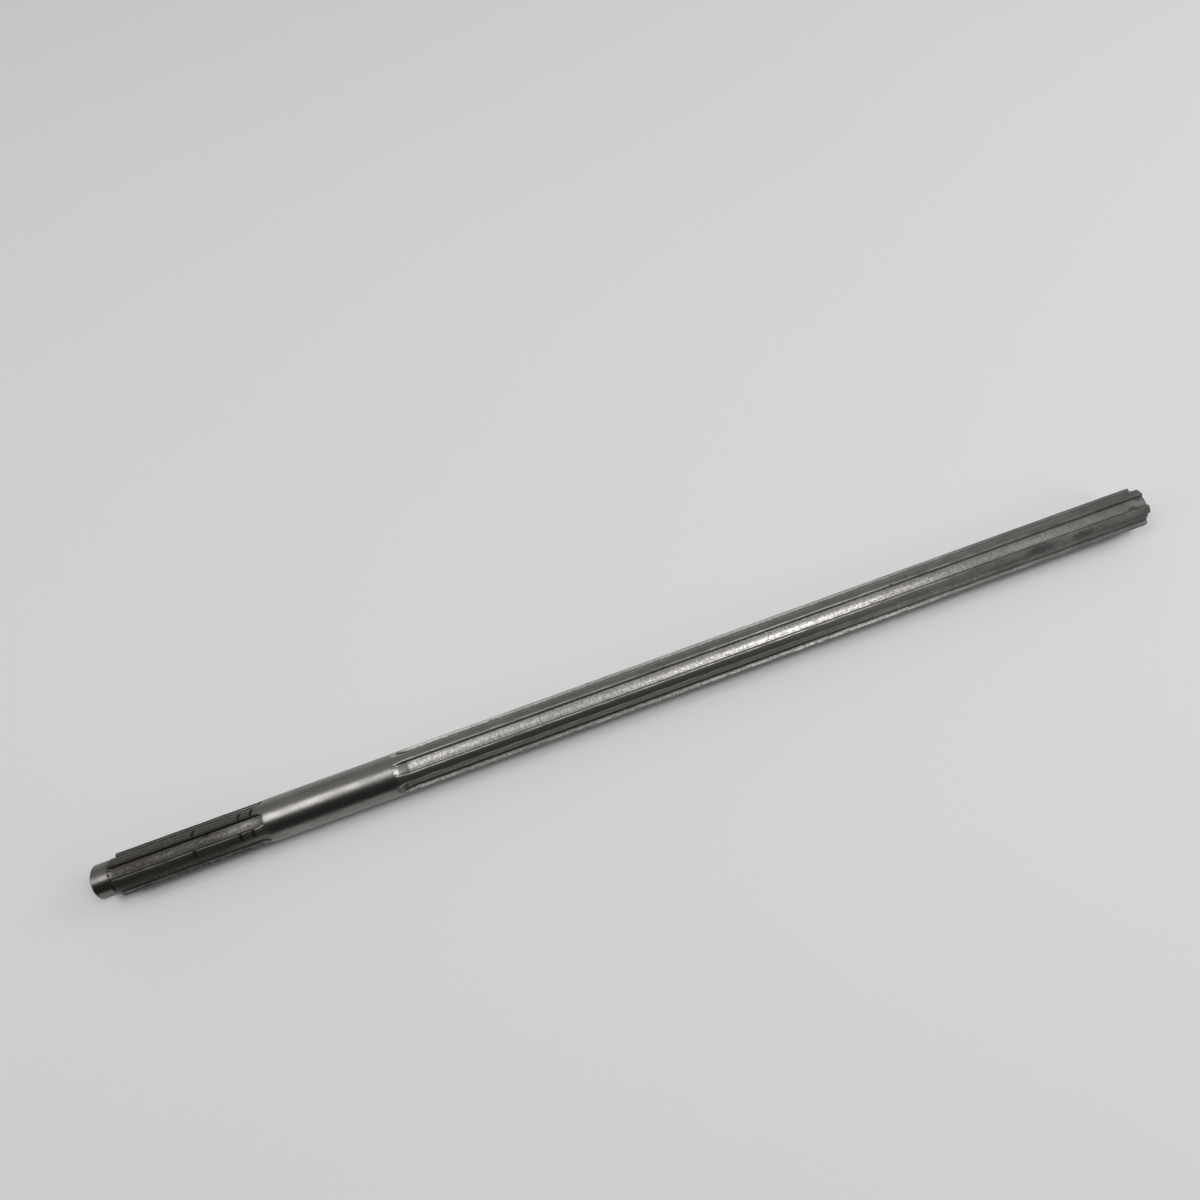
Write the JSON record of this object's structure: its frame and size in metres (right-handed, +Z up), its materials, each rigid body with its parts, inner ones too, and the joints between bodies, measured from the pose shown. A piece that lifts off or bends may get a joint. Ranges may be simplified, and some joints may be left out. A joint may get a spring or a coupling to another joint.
{
  "type": "splined shaft",
  "caption": "Straight steel drive shaft with a short and a long straight-sided spline, a plain round journal between them and a turned pilot nose.",
  "frame": {"origin": "on the shaft's axis, at the shoulder behind the pilot nose", "axes": "+X along the shaft's axis from the nose to the far end of the long spline, +Z up as the shaft lies on its side, with one groove facing straight up"},
  "size_m": [0.65, 0.025, 0.025],
  "materials": {
    "steel": "turned and milled bare steel, worn, with dirt and light rust"
  },
  "bodies": {
    "root": {"shaft": "steel"}
  },
  "joints": []
}
